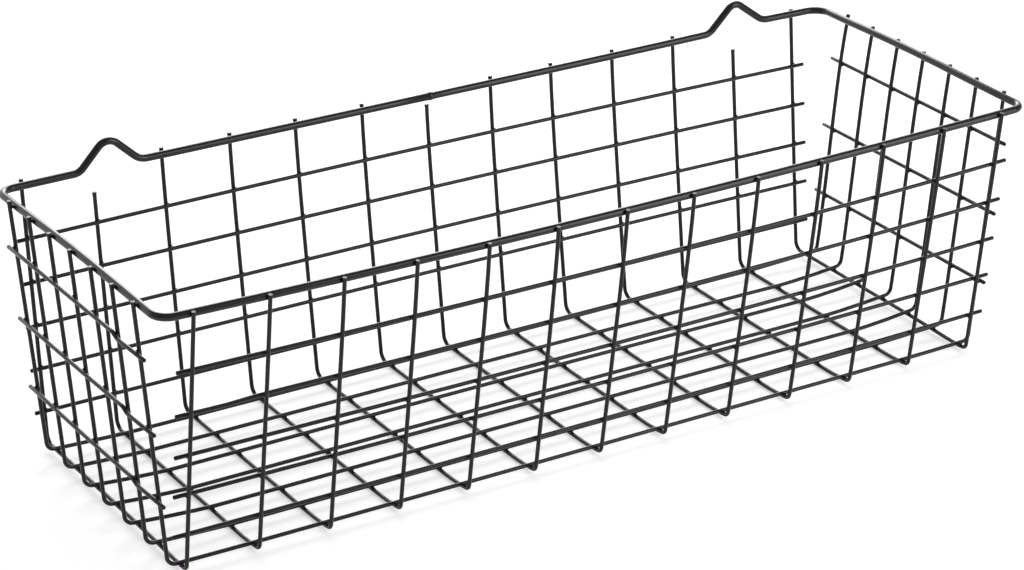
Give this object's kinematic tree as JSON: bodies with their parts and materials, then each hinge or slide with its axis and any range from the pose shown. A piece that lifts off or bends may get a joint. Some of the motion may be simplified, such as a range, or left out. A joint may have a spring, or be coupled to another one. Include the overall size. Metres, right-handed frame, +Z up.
{
  "type": "wire storage basket",
  "caption": "Open-top rectangular basket of welded black-coated steel wire mesh with flared sides, a thicker rim wire and raised humps in the rear rim for hanging it up.",
  "frame": {"origin": "centre of the bounding box at the level of the surface the basket stands on", "axes": "+X along the length, to the right as seen from the front; +Y to the rear, where the hanger humps are; +Z up"},
  "size_m": [0.5218, 0.197, 0.1592],
  "materials": {
    "black_coat": "satin black powder coat over steel wire"
  },
  "bodies": {
    "root": {"rim_wire": "black_coat", "cross_wire_01": "black_coat", "cross_wire_02": "black_coat", "cross_wire_03": "black_coat", "cross_wire_04": "black_coat", "cross_wire_05": "black_coat", "cross_wire_06": "black_coat", "cross_wire_07": "black_coat", "cross_wire_08": "black_coat", "cross_wire_09": "black_coat", "cross_wire_10": "black_coat", "cross_wire_11": "black_coat", "cross_wire_12": "black_coat", "cross_wire_13": "black_coat", "long_wire_1": "black_coat", "long_wire_2": "black_coat", "long_wire_3": "black_coat", "long_wire_4": "black_coat", "long_wire_5": "black_coat", "long_wire_6": "black_coat", "long_wire_7": "black_coat", "front_rail_1": "black_coat", "front_rail_2": "black_coat", "front_rail_3": "black_coat", "front_rail_4": "black_coat", "front_rail_5": "black_coat", "rear_rail_1": "black_coat", "rear_rail_2": "black_coat", "rear_rail_3": "black_coat", "rear_rail_4": "black_coat", "rear_rail_5": "black_coat", "left_rail_1": "black_coat", "left_rail_2": "black_coat", "left_rail_3": "black_coat", "right_rail_1": "black_coat", "right_rail_2": "black_coat", "right_rail_3": "black_coat"}
  },
  "joints": []
}
